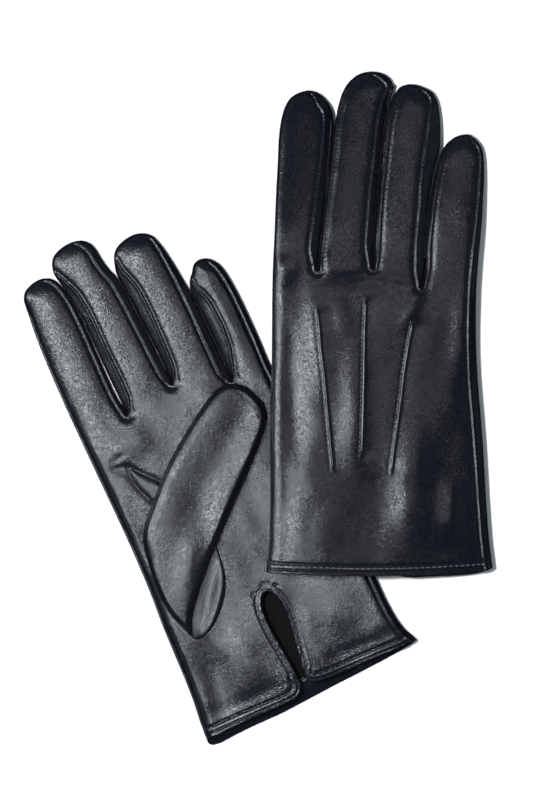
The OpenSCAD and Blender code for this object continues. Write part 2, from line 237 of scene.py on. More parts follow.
QUIRK = [(-38.6, 136.2), (-39.4, 131), (-38.2, 125), (-36, 119.5), (-34.5, 116), (-30, 116),
         (-26, 121), (-27.5, 124), (-31, 128), (-35, 132.6)]


# ---- plane curves ----

def smooth_curve(points, step, closed=False):
    """A centripetal Catmull-Rom curve through the points, resampled evenly. Also gives the arc
    length at each sample and at each given point."""
    p = np.array(points, float)
    if closed:
        p = np.vstack([p, p[:1]])
        before, after = p[-2], p[1]
    else:
        before, after = 2 * p[0] - p[1], 2 * p[-1] - p[-2]
    q = np.vstack([before, p, after])
    fine, marks = [p[0]], [0]
    for i in range(1, len(q) - 2):
        a, b, c, d = q[i - 1:i + 3]
        n = max(2, int(np.linalg.norm(c - b) / 0.2))
        ta = np.linalg.norm(b - a) ** 0.5
        tb = ta + np.linalg.norm(c - b) ** 0.5
        tc = tb + np.linalg.norm(d - c) ** 0.5
        t = np.linspace(ta, tb, n + 1)[1:, None]
        a1 = (ta - t) / ta * a + t / ta * b
        a2 = (tb - t) / (tb - ta) * b + (t - ta) / (tb - ta) * c
        a3 = (tc - t) / (tc - tb) * c + (t - tb) / (tc - tb) * d
        b1 = (tb - t) / tb * a1 + t / tb * a2
        b2 = (tc - t) / (tc - ta) * a2 + (t - ta) / (tc - ta) * a3
        fine.extend((tb - t) / (tb - ta) * b1 + (t - ta) / (tb - ta) * b2)
        marks.append(len(fine) - 1)
    fine = np.array(fine)
    along = np.concatenate([[0], np.cumsum(np.linalg.norm(np.diff(fine, axis=0), axis=1))])
    s = np.linspace(0, along[-1], max(3, int(round(along[-1] / step)) + 1))
    samples = np.stack([np.interp(s, along, fine[:, k]) for k in (0, 1)], 1)
    return samples, s, along[marks]


def left_normals(line):
    """Unit normals of a plane curve, pointing to its left."""
    n = np.gradient(line, axis=0)
    n = np.stack([-n[:, 1], n[:, 0]], 1)
    return n / np.linalg.norm(n, axis=1)[:, None]


def offset_line(line, by):
    """A plane curve moved sideways: by > 0 moves it to its left."""
    return line + left_normals(line) * by


def table(y, pairs):
    """Values between the (y, value) pairs."""
    ys, vs = zip(*pairs)
    return np.interp(y, ys, vs)


def ease(t):
    """0 below t = 0, 1 above t = 1, smooth between."""
    t = np.clip(t, 0, 1)
    return t * t * (3 - 2 * t)


def to_polyline(q, line):
    """Distance from each point to a polyline, and the signed side: positive on its left."""
    best = np.full(len(q), 1e9)
    side = np.zeros(len(q))
    for a, b in zip(line[:-1], line[1:]):
        ab = b - a
        t = np.clip(((q - a) @ ab) / (ab @ ab), 0, 1)
        off = q - a - t[:, None] * ab
        d = np.linalg.norm(off, axis=1)
        nearer = d < best
        best[nearer] = d[nearer]
        side[nearer] = np.sign(ab[0] * off[:, 1] - ab[1] * off[:, 0])[nearer]
    return best, side


def inside(q, polygon):
    """Which points lie inside a closed polygon."""
    order = np.argsort(q[:, 1])
    ys = q[order, 1]
    crossings = np.zeros(len(q), int)
    for a, b in zip(polygon, np.roll(polygon, -1, axis=0)):
        lo, hi = sorted((a[1], b[1]))
        i, j = np.searchsorted(ys, [lo, hi])
        if i < j:
            some = order[i:j]
            x = a[0] + (q[some, 1] - a[1]) * (b[0] - a[0]) / (b[1] - a[1])
            crossings[some] += q[some, 0] < x
    return crossings % 2 == 1


def bell(x, at, width):
    """1 at x = at, falling away on both sides."""
    return np.exp(-((x - at) / width) ** 2)


def rim(u):
    """The rounded profile of a folded edge: 0 at the outline, 1 from u = 1 inwards."""
    u = np.clip(u, 0, 1)
    return np.sqrt(np.clip(1 - (1 - u) ** 2, 0, 1))


def bead(d, width):
    """A narrow rounded lip along an outline: a sewn edge standing out."""
    u = np.clip(d / np.maximum(width, 0.05), 0, 1)
    return 0.9 * np.minimum(width, 1) * np.sqrt(np.clip(u * (1 - u) * 4, 0, 1)) * (width > 0.05)


VENT_LINE = smooth_curve(VENT, 1.1)[0]
QUIRK_LINE = smooth_curve(QUIRK, 1.5, True)[0]


# ---- the outline with what varies along it ----

class Outline:
    """A glove's outline, or a thumb's: even samples with each one's inward normal, rim radius,
    seam inset, finger and side."""

    STEP = 0.4

    def __init__(self, parts, closed=False):
        # parts: one dict per finger, with its points and each one's rim radius, inset and side
        self.p = np.vstack([x["p"] for x in parts])
        self.rim = np.concatenate([x["rim"] for x in parts])
        self.inset = np.concatenate([x["inset"] for x in parts])
        self.finger = np.concatenate([np.full(len(x["p"]), x["finger"]) for x in parts])
        self.side = np.concatenate([x["side"] for x in parts])
        self.closed = closed
        self.normal = np.vstack([-left_normals(x["p"]) for x in parts])
        ends = np.cumsum([len(x["p"]) for x in parts])[:-1]
        self.crotches = [(e - 1, e) for e in ends]
        self.tree = kdtree.KDTree(len(self.p))
        for i, (x, y) in enumerate(self.p):
            self.tree.insert((x, y, 0), i)
        self.tree.balance()

    def spans(self):
        """Each finger's first sample, and the one after its last."""
        ends = [0] + [j for _, j in self.crotches] + [len(self.p)]
        return list(zip(ends[:-1], ends[1:]))

    def nearest(self, q):
        """For each point: distance to the outline, rim radius, inset, finger and side."""
        index = np.array([self.tree.find((x, y, 0))[1] for x, y in q])
        best = np.linalg.norm(q - self.p[index], axis=1)
        n = len(self.p)
        for other in (index - 1, index + 1):
            other = other % n if self.closed else np.clip(other, 0, n - 1)
            a, ab = self.p[index], self.p[other] - self.p[index]
            t = np.clip(((q - a) * ab).sum(1) / np.maximum((ab * ab).sum(1), 1e-12), 0, 1)
            best = np.minimum(best, np.linalg.norm(q - a - t[:, None] * ab, axis=1))
        radius, inset = self.rim[index].copy(), self.inset[index].copy()
        finger, side = self.finger[index].copy(), self.side[index].copy()
        for i, j in self.crotches:
            here = (index == i) | (index == j)
            off = q[here] - self.p[i]
            share = 0.5 + 0.5 * np.clip(off[:, 0] / np.maximum(np.linalg.norm(off, axis=1), 1e-9),
                                        -1, 1)
            radius[here] = self.rim[i] + (self.rim[j] - self.rim[i]) * share
            inset[here] = self.inset[i] + (self.inset[j] - self.inset[i]) * share
            finger[here] = np.where(off[:, 0] < 0, self.finger[i], self.finger[j])
            side[here] = np.where(off[:, 0] < 0, self.side[i], self.side[j])
        return best, radius, inset, finger, side

    def pulled_in(self, q):
        """The points, with those outside the outline moved to just inside it."""
        out = ~inside(q, self.p)
        index = [self.tree.find((x, y, 0))[1] for x, y in q[out]]
        moved = q.copy()
        moved[out] = self.p[index] + self.normal[index] * 0.3
        return moved


def blur(v, reach):
    """Averages neighbouring samples, so that a value changes gradually along the outline."""
    n = int(reach / Outline.STEP)
    padded = np.concatenate([np.full(n, v[0]), v, np.full(n, v[-1])])
    return np.convolve(padded, np.ones(2 * n + 1) / (2 * n + 1), "valid")


SIDE_LEFT, SIDE_TIP, SIDE_RIGHT = 0, 1, 2
INDEX, MIDDLE, RING, LITTLE = 0, 1, 2, 3
FINGER_NAMES = ["index", "middle", "ring", "little"]
RIM_BLUR, INSET_BLUR = 7, 2.4     # rim radii and seam insets change over these lengths


def glove_outline(fingers, seams, rims, hem):
    """The outline of a glove's shell, one part per finger, from the hem round to the hem."""
    parts = []
    for k, name in enumerate(FINGER_NAMES):
        left, tip, right = fingers[name]
        points = left + tip + right[::-1]
        p, s, marks = smooth_curve(points, Outline.STEP)
        s0, s1 = marks[len(left) - 1], marks[len(left) + len(tip)]
        u = np.clip((s - s0) / (s1 - s0), 0, 1)
        side = np.where(u <= 0, SIDE_LEFT, np.where(u >= 1, SIDE_RIGHT, SIDE_TIP))
        outer_left, outer_right = k == INDEX, k == LITTLE
        radius = np.where(side == SIDE_LEFT, rims["outer"] if outer_left else rims["left"],
                          np.where(side == SIDE_RIGHT,
                                   rims["outer"] if outer_right else rims["right"], rims["tip"]))
        inset_left = table(p[:, 1], seams[name][0])
        inset_right = table(p[:, 1], seams[name][1])
        inset = np.where(u < 0.5, inset_left * ease(1 - 2.2 * u), inset_right * ease(2.2 * u - 1.2))
        keep = np.ones(len(p), bool)
        if outer_left:
            keep &= (s > s0) | (p[:, 1] > hem[0][1] - 0.01)
        if outer_right:
            keep &= (s < s1) | (p[:, 1] > hem[-1][1] - 0.01)
        parts.append({"p": p[keep], "rim": blur(radius.astype(float), RIM_BLUR)[keep],
                      "inset": blur(inset, INSET_BLUR)[keep], "finger": k, "side": side[keep]})
    return Outline(parts)


# ---- one side of a glove as a height over its plan ----

class Sheet:
    """One side of a glove: the outline, the height of its surface, and its free edge."""

    def __init__(self, glove, outline, up, folds, seam_depth, points, seed):
        self.glove, self.outline, self.up = glove, outline, up
        self.folds, self.seam_depth, self.seed = folds, seam_depth, seed
        self.lipped = glove.palm_up and up > 0
        self.lean = 0 if up < 0 else (0.8 * LEAN if glove.palm_up else -LEAN)
        self.points = [smooth_curve(p, 2.0)[0] for p in points]
        self.is_palm = (up > 0) == glove.palm_up
        self.edge = smooth_curve(glove.palm_hem if self.is_palm else glove.back_hem, 1.1)[0]

    FINGER_RADIUS = 11.5      # a finger is rounded over this width,
    ROUND_SHARE = 0.62        # by this much; the rest is a flat fold's small rim
    SLUMP, SLUMP_OVER = 0.7, 26       # the flat part sinks towards its edges
    LEAN_FROM, LEAN_OVER = 28, 76

    def height(self, q):
        """The surface's height at plan points. Where the edge has a lip, the rim is inside it."""
        d, radius, inset, finger, side = self.outline.nearest(q)
        lip = np.where((finger == INDEX) & (side == SIDE_LEFT) & self.lipped, inset, 0)
        tube = ease((q[:, 1] - self.glove.crotch_y + 8) / 26) * self.ROUND_SHARE
        past = np.maximum(d - lip, 0)
        edge = rim(past / radius)
        half = HALF + self.lean * np.clip(q[:, 0] + self.LEAN_FROM, 0, self.LEAN_OVER)
        z = half * ((1 - tube) * edge + tube * rim(past / self.FINGER_RADIUS))
        z -= (1 - tube) * self.SLUMP * (1 - np.clip(past / self.SLUMP_OVER, 0, 1)) ** 2 * edge
        z += bead(d, lip)
        z += ease(past / 1.6) * (self.relief(q) + self.seam(q, d, np.where(lip > 0, 0, inset)))
        z = self.glove.mid(q) + self.up * z
        if self.glove.palm_up and self.up < 0:
            z = np.maximum(z, UNDERSIDE)
        return z

    def seam(self, q, d, inset):
        """A sewn edge stands proud in a narrow line, the strip outside it lies lower, and there
        is a valley on its inner side."""
        real = ease(inset / 0.8)
        off = d - inset
        pucker = 1 + 0.1 * np.sin(q[:, 1] * 2 * math.pi / 2.2)
        valley = -1.0 * bell(off, 1.3, 0.95) * pucker
        line = 0.5 * bell(off, 0, 0.45)
        strip = -0.5 * ease(-off / 0.9)
        return self.seam_depth * real * (valley + line + strip)

    def to_edge(self, q):
        """Distance from the free edge, and whether the nearest part of it is the vent's."""
        d, _ = to_polyline(q, self.edge)
        if not self.is_palm:
            return d, np.zeros(len(q), bool)
        return d, to_polyline(q, VENT_LINE)[0] < d + 0.02

    def vent_ends(self):
        """The samples of the free edge where the vent's line starts and ends."""
        return [int(np.argmin(np.linalg.norm(self.edge - np.array(v), axis=1)))
                for v in (VENT[0], VENT[-1])]

    def relief(self, q):
        """All that stands out of the surface or is pressed into it."""
        z = np.zeros(len(q))
        for a, b, width, height in self.folds:
            start, way = np.array(a, float), np.array(b, float) - a
            length = np.linalg.norm(way)
            along = (q - start) @ way / length
            across = (q - start) @ (-way[1], way[0]) / length
            fade = 0.3 * length
            ends = [ease((s + fade) / (2.2 * fade)) for s in (along, length - along)]
            z += height * bell(across, 0, width) * ends[0] * ends[1]
        # broad and small unevenness
        for scale, k in ((0.05, 0.7), (0.12, 0.22)):
            z += k * np.array([noise.noise((x * scale, y * scale * 0.7, self.seed))
                               for x, y in q])
        # each raised point has a step on its right and its stitches' groove on its left
        for line in self.points:
            dist, side = to_polyline(q, line)
            off = dist * side
            ends = ease((q[:, 1] - line[0, 1] + 3) / 6) * ease((line[-1, 1] - q[:, 1] + 3) / 6)
            step = -0.85 * ease((-off - 0.3) / 0.9) * bell(off, 0, 7)
            z += ends * (step - 0.35 * bell(off, POINT_SEAM, 0.5))
            if self.glove.palm_up:
                z -= ends * 0.8 * bell(off, 0, 2.4)      # room for the point under the glove
        # the quirk's seam, then the turned edge with the grooves beside its stitches
        if self.is_palm:
            z -= 0.7 * bell(to_polyline(q, QUIRK_LINE)[0], 0, 1.5)
        e, vent = self.to_edge(q)
        seam_at = np.where(vent, 2.0, HEM)
        z += 0.35 * bell(e, 0.5, 0.4) - 0.5 * bell(e, 1.25, 0.35)
        z += np.where(vent, 0.3, 0.0) * bell(e, 1.9, 0.35)
        z -= 0.65 * bell(e - seam_at, 0.8, 0.6)
        return z * ease(e / 0.4)


class Glove:
    """Where a glove lies and how its middle surface bends."""

    DROOP = np.radians([14.5, 9.9, 7.8, 7.3])    # how far the right glove's fingers hang
    BEND_FROM, BEND_OVER = 152.0, 26.0

    def __init__(self, side):
        """Takes the glove's place from the pose of its thumb's hinge."""
        self.side = side
        self.palm_up = side == "left"
        self.crotch_y = 158 if self.palm_up else 147
        hinge = JOINTS["left_thumb_open" if self.palm_up else "right_thumb_drop"]
        axis, pos = np.array(hinge["axis"]), np.array(hinge["pos_m"]) / MM
        if self.palm_up:
            self.turn = math.atan2(axis[0], -axis[1])
            self.at = pos[:2] - self.rotated(THUMB_HINGE[None])[0]
            self.roll = self.pitch = 0.0
            self.z0 = HALF
        else:
            self.turn = 0.0
            self.roll = math.atan2(-axis[0], -axis[2])
            self.pitch = math.asin(math.hypot(axis[0], axis[2]))
            hang = -(HALF + THUMB_GAP + THUMB_T / 2)
            x, y = THUMB_HINGE
            cp, sp = math.cos(self.pitch), math.sin(self.pitch)
            cr, sr = math.cos(self.roll), math.sin(self.roll)
            y1, z1 = y * cp + hang * sp, -y * sp + hang * cp
            self.at = np.array([pos[0] - (x * cr + z1 * sr), pos[1] - y1])
            self.z0 = pos[2] - (-x * sr + z1 * cr)
        self.back_hem = LEFT_BACK_HEM if self.palm_up else RIGHT_BACK_HEM
        self.palm_hem = LEFT_PALM_HEM if self.palm_up else RIGHT_PALM_HEM

    def rotated(self, q):
        """Plan points turned to the scene's directions."""
        c, s = math.cos(self.turn), math.sin(self.turn)
        return np.stack([q[:, 0] * c - q[:, 1] * s, q[:, 0] * s + q[:, 1] * c], 1)

    def mid(self, q):
        """Height of the surface midway between the palm and the back."""
        if self.palm_up:
            return np.full(len(q), HALF)
        x, y = q[:, 0], q[:, 1]
        z = self.z0 - x * math.tan(self.roll) - y * math.tan(self.pitch)
        past = np.clip(y - self.BEND_FROM, 0, None)
        bent = np.where(past < self.BEND_OVER, past ** 2 / (2 * self.BEND_OVER),
                        past - self.BEND_OVER / 2)
        z -= self.finger_slope(q) * bent
        hang = 1 - ease((y - 100) / 50)          # up to the knuckles, the sides hang lower
        z -= hang * 5 * np.clip((-20 - x) / 35, 0, None) ** 2
        z -= hang * 6 * np.clip((x - 10) / 44, 0, None) ** 2
        return z

    def finger_slope(self, q):
        """Each finger hangs at its own slope, told apart by the slits between them."""
        slits = [[(-31.6, 148), (-23.9, 218), (-20, 250)], [(-4.6, 148), (1.6, 223), (8, 250)],
                 [(19.2, 138), (26.4, 199.5), (30, 250)]]
        k = sum((q[:, 0] > table(q[:, 1], [(y, x) for x, y in line])).astype(int)
                for line in slits)
        return np.tan(self.DROOP)[k]

    def world(self, q, z):
        """Plan points and heights as the scene's points, in metres."""
        xy = self.rotated(q) + self.at
        return np.column_stack([xy, z]) * MM

    def point(self, x, y, z):
        return tuple(self.world(np.array([[x, y]], float), np.array([z], float))[0])


# ---- plan meshes ----

class Scatter:
    """Plan points kept at least a given distance apart."""

    CELL = 1.0

    def __init__(self, points):
        """Starts with these points as they are."""
        self.points, self.cells = list(points), {}
        for x, y in points:
            self.cells.setdefault(self.cell(x, y), []).append((x, y))

    def cell(self, x, y):
        return int(math.floor(x / self.CELL)), int(math.floor(y / self.CELL))

    def add(self, q, apart):
        """Adds the points that are at least this far from all the others."""
        reach = int(math.ceil(apart / self.CELL))
        limit = apart * apart
        for x, y in q:
            i, j = self.cell(x, y)
            near = any((u - x) ** 2 + (v - y) ** 2 < limit
                       for a in range(i - reach, i + reach + 1)
                       for b in range(j - reach, j + reach + 1)
                       for u, v in self.cells.get((a, b), ()))
            if not near:
                self.cells.setdefault((i, j), []).append((x, y))
                self.points.append((x, y))


def triangulate(points, edges, keep_in):
    """Triangles over the points, keeping the edges, inside a polygon."""
    co, _, faces, *_ = geometry.delaunay_2d_cdt([Vector(p) for p in points], edges, [], 0, 1e-5)
    co = np.array([tuple(c) for c in co])
    tri = np.array([f for f in faces if len(f) == 3])
    centre = co[tri].mean(1)
    tri = tri[inside(centre, keep_in)]
    a, b, c = (co[tri[:, k]] for k in range(3))
    area = (b[:, 0] - a[:, 0]) * (c[:, 1] - a[:, 1]) - (b[:, 1] - a[:, 1]) * (c[:, 0] - a[:, 0])
    return co, tri[np.abs(area) > 1e-6]


# Where the plan meshes have rows of points: round the rims, and at these distances from the
# seams, the fingers' roots, the free edge, the raised points and the quirk.
RIM_ANGLES = np.radians([13, 25, 37, 49, 61, 73, 85])
SEAM_STEPS = (-0.6, -0.25, 0.2, 0.6, 1.1, 1.7, 2.4, 3.2)
CROTCH_STEPS = (0.15, 0.5, 1.0, 1.6, 2.2, 3.0, 4.0, 5.2)
EDGE_STEPS = (0.3, 0.6, 0.9, 1.25, 1.6, 2.0, 2.5, 3.0, 3.8, 4.2, 4.8, 5.4)
POINT_STEPS = (0, -0.45, 0.45, -0.95, 0.95, -1.5, 1.5, 2.2, -2.2, -3.0)
QUIRK_STEPS = (-1.6, -0.8, 0, 0.8, 1.6)


def ring_points(outline, every, depths):
    """Points inside the outline at each sample's depths, where the outline is still nearest."""
    out = []
    index = np.arange(0, len(outline.p), every)
    for depth in depths(index):
        q = outline.p[index] + outline.normal[index] * depth[:, None]
        d = outline.nearest(q)[0]
        out.append(q[np.abs(d - depth) < 0.12])
    for i, j in outline.crotches:
        a = math.atan2(outline.normal[i][1], outline.normal[i][0])
        b = math.atan2(outline.normal[j][1], outline.normal[j][0])
        turn = (b - a) % (2 * math.pi)
        for depth in CROTCH_STEPS:
            n = max(5, int(turn * depth / 0.8))
            t = a + turn * np.arange(1, n) / n
            out.append(outline.p[i] + depth * np.stack([np.cos(t), np.sin(t)], 1))
    return out


def rims_and_seams(outline, every, seam_steps):
    """Points along the rounded rim, and along the seam."""
    rims = ring_points(outline, every,
                       lambda i: [outline.rim[i] * (1 - math.cos(a)) for a in RIM_ANGLES])
    seams = ring_points(outline, every, lambda i: [outline.inset[i] + k for k in seam_steps])
    return rims, seams


def grid_points(outline, boundary, lo, hi, step, clear):
    """A square grid inside the boundary, kept clear of the outline."""
    xs, ys = np.arange(lo[0], hi[0], step), np.arange(lo[1], hi[1], step)
    grid = np.stack(np.meshgrid(xs, ys), -1).reshape(-1, 2)
    grid = grid[inside(grid, boundary)]
    return grid[outline.nearest(grid)[0] > clear]


def sheet_plan(sheet, extra_lines, cuts, fine=1.0):
    """The plan mesh of one side of a glove. Each cut is a line that triangles don't cross."""
    outline = sheet.outline
    every = max(1, int(1.2 * fine / Outline.STEP))
    boundary = np.vstack([even_samples(outline, every), sheet.edge[::-1][1:-1]])
    points = [tuple(p) for p in boundary]
    edges = [(i, (i + 1) % len(boundary)) for i in range(len(boundary))]
    for line in cuts:
        first = len(points)
        points += [tuple(p) for p in line]
        edges += [(first + i, first + i + 1) for i in range(len(line) - 1)]
    scatter = Scatter(points)
    for line in extra_lines:
        scatter.add(line, 0.3 * fine)
    rims, seams = rims_and_seams(outline, every, SEAM_STEPS)
    for group in (rims[:3], seams, rims):
        for q in group:
            scatter.add(q[inside(q, boundary)], 0.34 * fine)
    step = GRID * fine
    scatter.add(grid_points(outline, boundary, (-60, -6), (60, 252), step, 2.0), 0.72 * step)
    return triangulate(scatter.points, edges, boundary)


def even_samples(outline, every):
    """The outline's samples at the given stride, with each finger's ends kept."""
    keep = []
    for a, b in outline.spans():
        keep += [i for i in range(a, b - 1, every) if b - 1 - i > every // 2]
    return outline.p[keep + [len(outline.p) - 1]]


# ---- meshes and pieces ----

def vertex_normals(co, faces):
    """Area-weighted normals of a triangle mesh."""
    a, b, c = (co[faces[:, k]] for k in range(3))
    n = np.cross(b - a, c - a)
    total = np.zeros_like(co)
    for k in range(3):
        np.add.at(total, faces[:, k], n)
    return total / np.maximum(np.linalg.norm(total, axis=1), 1e-20)[:, None]


def weld(co, faces):
    """Joins points that share a place."""
    key = np.round(co / (0.002 * MM)).astype(np.int64)
    _, first, back = np.unique(key, axis=0, return_index=True, return_inverse=True)
    faces = back.reshape(-1)[faces]
    good = (faces[:, 0] != faces[:, 1]) & (faces[:, 1] != faces[:, 2]) & (faces[:, 0] != faces[:, 2])
    return co[first], faces[good], good


def grid_faces(rows, columns, flip):
    """Quads over a grid of points given row by row."""
    faces = [(i * columns + k, i * columns + k + 1, (i + 1) * columns + k + 1,
              (i + 1) * columns + k) for i in range(rows - 1) for k in range(columns - 1)]
    return [f[::-1] for f in faces] if flip else faces


def lifted(glove, plans):
    """Plan meshes lifted to their sheets' heights and welded, and which triangles are left."""
    co_all, faces_all, first = [], [], 0
    for sheet, (co, tri) in plans:
        co_all.append(glove.world(co, sheet.height(co)))
        faces_all.append((tri if sheet.up > 0 else tri[:, ::-1]) + first)
        first += len(co)
    return weld(np.vstack(co_all), np.vstack(faces_all))


def make_piece(name, co, faces, material, normals=None):
    """A mesh object from arrays, with smooth shading and its own normals if given."""
    faces = [tuple(int(i) for i in f) for f in faces]
    used = sorted({i for f in faces for i in f})
    renumber = {v: i for i, v in enumerate(used)}
    mesh = bpy.data.meshes.new(name)
    mesh.from_pydata([tuple(co[i]) for i in used], [],
                     [tuple(renumber[i] for i in f) for f in faces])
    mesh.validate()
    mesh.shade_smooth()
    if normals is not None:
        mesh.normals_split_custom_set_from_vertices([tuple(normals[i]) for i in used])
    mesh.materials.append(material)
    obj = bpy.data.objects.new(name, mesh)
    bpy.context.scene.collection.objects.link(obj)
    return obj


def tube_mesh(path, radius, sides, up):
    """A tube with closed ends along 3-D points, with a radius and an up direction at each."""
    n = len(path)
    along = np.gradient(path, axis=0)
    along /= np.linalg.norm(along, axis=1)[:, None]
    across = np.cross(along, up)
    across /= np.maximum(np.linalg.norm(across, axis=1), 1e-12)[:, None]
    up = np.cross(across, along)
    angle = np.arange(sides) * 2 * math.pi / sides
    co = (path[:, None]
          + across[:, None] * (np.cos(angle)[None, :, None] * radius[:, None, None])
          + up[:, None] * (np.sin(angle)[None, :, None] * radius[:, None, None]))
    faces = []
    for i in range(n - 1):
        for k in range(sides):
            m = (k + 1) % sides
            faces.append((i * sides + k, i * sides + m, (i + 1) * sides + m, (i + 1) * sides + k))
    faces.append(tuple(range(sides))[::-1])
    faces.append(tuple((n - 1) * sides + k for k in range(sides)))
    return co.reshape(-1, 3), [f[::-1] for f in faces]


def stitch_row(line3, normals, pitch, length, radius):
    """Short thread stitches along a 3-D line, each one rising out of and dipping into the skin."""
    s = np.concatenate([[0], np.cumsum(np.linalg.norm(np.diff(line3, axis=0), axis=1))])
    stitches = []
    count = int((s[-1] - length) / pitch)
    t = np.linspace(-0.5, 0.5, 7)
    for i in range(count + 1):
        here = length / 2 + i * (s[-1] - length) / max(count, 1) + t * length
        path = np.stack([np.interp(here, s, line3[:, k]) for k in range(3)], 1)
        up = np.stack([np.interp(here, s, normals[:, k]) for k in range(3)], 1)
        lift = radius * (0.55 - 1.6 * (2 * np.abs(t)) ** 3)
        path = path + up * lift[:, None]
        thick = radius * np.sqrt(np.clip(1 - (2 * np.abs(t)) ** 4, 0.15, 1))
        stitches.append(tube_mesh(path, thick, 7, up))
    return joined(stitches)


def joined(meshes):
    """Several (points, faces) as one."""
    co, faces, first = [], [], 0
    for c, f in meshes:
        co.append(np.asarray(c))
        faces += [tuple(first + int(v) for v in g) for g in f]
        first += len(c)
    return np.vstack(co), faces


# ---- materials ----

class Nodes:
    """Short calls for building a material's node tree."""

    def __init__(self, name):
        self.material = bpy.data.materials.new(name)
        self.material.use_nodes = True
        self.tree = self.material.node_tree
        self.tree.nodes.clear()
        self.shader = self.add("ShaderNodeBsdfPrincipled")
        out = self.add("ShaderNodeOutputMaterial")
        self.link(self.shader.outputs[0], out.inputs[0])
        self.place = self.add("ShaderNodeTexCoord").outputs["Object"]

    def add(self, kind, **settings):
        node = self.tree.nodes.new(kind)
        for k, v in settings.items():
            setattr(node, k, v)
        return node

    def link(self, a, b):
        self.tree.links.new(a, b)

    def texture(self, kind, output, vector=None, settings=None, **sockets):
        """A procedural texture over the object's own coordinates, or over the given ones."""
        n = self.add(kind, **(settings or {}))
        self.link(vector or self.place, n.inputs["Vector"])
        for k, v in sockets.items():
            n.inputs[k].default_value = v
        return n.outputs[output]

    def noise(self, scale, detail=2.0, distortion=0.0):
        return self.texture("ShaderNodeTexNoise", "Fac", Scale=scale, Detail=detail,
                            Distortion=distortion)

    def wave(self, direction, scale, distortion=0.0):
        settings = {"wave_type": "BANDS", "bands_direction": direction}
        return self.texture("ShaderNodeTexWave", "Fac", None, settings, Scale=scale,
                            Distortion=distortion)

    def math(self, operation, a, b=0.0):
        n = self.add("ShaderNodeMath", operation=operation)
        for socket, value in zip(n.inputs, (a, b)):
            if isinstance(value, (int, float)):
                socket.default_value = value
            else:
                self.link(value, socket)
        return n.outputs[0]

    def span(self, value, low, high, from_low=0.0, from_high=1.0):
        n = self.add("ShaderNodeMapRange")
        self.link(value, n.inputs["Value"])
        for k, v in (("From Min", from_low), ("From Max", from_high), ("To Min", low),
                     ("To Max", high)):
            n.inputs[k].default_value = v
        return n.outputs[0]

    def ramp(self, value, stops):
        n = self.add("ShaderNodeValToRGB")
        self.link(value, n.inputs[0])
        n.color_ramp.elements[0].position, n.color_ramp.elements[0].color = stops[0]
        n.color_ramp.elements[1].position, n.color_ramp.elements[1].color = stops[-1]
        for position, colour in stops[1:-1]:
            n.color_ramp.elements.new(position).color = colour
        return n.outputs[0]

    def bump(self, height, strength, distance):
        n = self.add("ShaderNodeBump")
        n.inputs["Strength"].default_value = strength
        n.inputs["Distance"].default_value = distance
        self.link(height, n.inputs["Height"])
        self.link(n.outputs[0], self.shader.inputs["Normal"])

    def set(self, **values):
        for k, v in values.items():
            self.shader.inputs[k.replace("_", " ")].default_value = v


def grey(v, blue=1.0):
    """A neutral colour, or one whose blue is this many times its red."""
    return (v, v * (1 + 0.1 * (blue - 1)), v * blue, 1)


def leather_material(name, tone, rough, grain):
    """Black nappa: fine pebbled grain, faint wrinkles and an uneven satin polish."""
    m = Nodes(name)
    warped = m.add("ShaderNodeMixRGB")
    warped.inputs["Fac"].default_value = 0.0012
    m.link(m.place, warped.inputs[1])
    m.link(m.texture("ShaderNodeTexNoise", "Color", Scale=500), warped.inputs[2])
    cells = m.texture("ShaderNodeTexVoronoi", "Distance", warped.outputs[0],
                      {"feature": "DISTANCE_TO_EDGE"}, Scale=1100)
    pebbles = m.span(cells, 0, 1, 0.0, 0.42)
    fine = m.noise(2600, 3)
    wrinkles = m.noise(640, 3, 0.8)
    broad = m.noise(60, 2)
    height = m.math("ADD", m.math("MULTIPLY", pebbles, 0.75),
                    m.math("ADD", m.math("MULTIPLY", fine, 0.3),
                           m.math("MULTIPLY", wrinkles, 0.6)))
    m.bump(height, grain, 0.0001)
    tones = m.math("ADD", m.math("MULTIPLY", pebbles, 0.6), m.math("MULTIPLY", fine, 0.5))
    dark, light = tone * 0.4, tone * 2.2
    m.link(m.ramp(tones, [(0.25, grey(dark, 2.4)), (0.75, grey(light, 2.4))]),
           m.shader.inputs["Base Color"])
    m.link(m.span(m.math("ADD", m.math("MULTIPLY", broad, 0.5), m.math("MULTIPLY", fine, 0.5)),
                  rough - 0.05, rough + 0.06, 0.3, 0.7), m.shader.inputs["Roughness"])
    m.set(IOR=1.5, Specular_IOR_Level=0.5, Sheen_Weight=0.01, Sheen_Roughness=0.4)
    return m.material


def knit_material(name):
    """The lining's fine brushed knit: rows of small loops under a soft nap."""
    m = Nodes(name)
    loops = m.math("MULTIPLY", m.wave("Y", 330, 1.5), m.wave("X", 260))
    nap = m.noise(3500, 4)
    m.bump(m.math("ADD", loops, m.math("MULTIPLY", nap, 0.6)), 0.8, 0.0004)
    m.link(m.ramp(m.math("ADD", m.math("MULTIPLY", loops, 0.6), m.math("MULTIPLY", nap, 0.4)),
                  [(0.15, grey(0.0015)), (0.8, grey(0.005, 1.15))]), m.shader.inputs["Base Color"])
    m.link(m.span(nap, 0.85, 1.0), m.shader.inputs["Roughness"])
    m.set(Sheen_Weight=0.08, Sheen_Roughness=0.6, Specular_IOR_Level=0.12)
    return m.material


def thread_material(name):
    """Waxed black thread, twisted. Its colour is painted mid grey, lighter along the twisted bands,
    as painted glints of the stitches.
    """
    m = Nodes(name)
    twist_and_glint_bands = m.wave("DIAGONAL", 1100)
    fuzz = m.noise(6000, 3)
    m.bump(m.math("ADD", twist_and_glint_bands, fuzz), 0.7, 0.00012)
    # painted glints: the black thread's colour is raised to grey, lightest on the twisted bands
    m.link(m.ramp(twist_and_glint_bands, [(0.1, grey(0.04, 1.2)), (0.9, grey(0.16, 1.25))]),
           m.shader.inputs["Base Color"])
    m.link(m.span(fuzz, 0.38, 0.6), m.shader.inputs["Roughness"])
    m.set(Sheen_Weight=0.1, Specular_IOR_Level=0.5)
    return m.material


